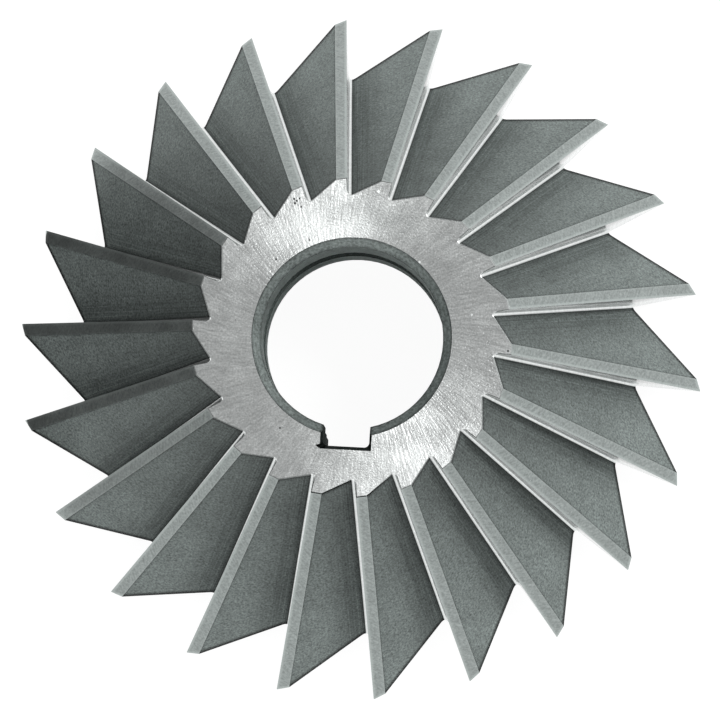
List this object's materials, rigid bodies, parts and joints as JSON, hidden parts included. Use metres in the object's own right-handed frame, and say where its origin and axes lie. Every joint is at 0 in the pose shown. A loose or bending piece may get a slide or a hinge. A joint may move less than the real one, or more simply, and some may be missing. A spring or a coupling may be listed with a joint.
{
  "type": "dovetail cutter",
  "caption": "Cone-shaped milling cutter with straight teeth on its slanting and flat sides, a keyed bore and a recess for the arbor screw, for cutting dovetail grooves.",
  "frame": {"origin": "centre of the flat cutting side, level with its cutting edges", "axes": "+Z along the bore towards the small hub face; the keyway points to -Y"},
  "size_m": [0.1248, 0.1244, 0.041],
  "materials": {
    "ground_steel": "ground high-speed steel"
  },
  "bodies": {
    "root": {"cutter_body": "ground_steel"}
  },
  "joints": []
}
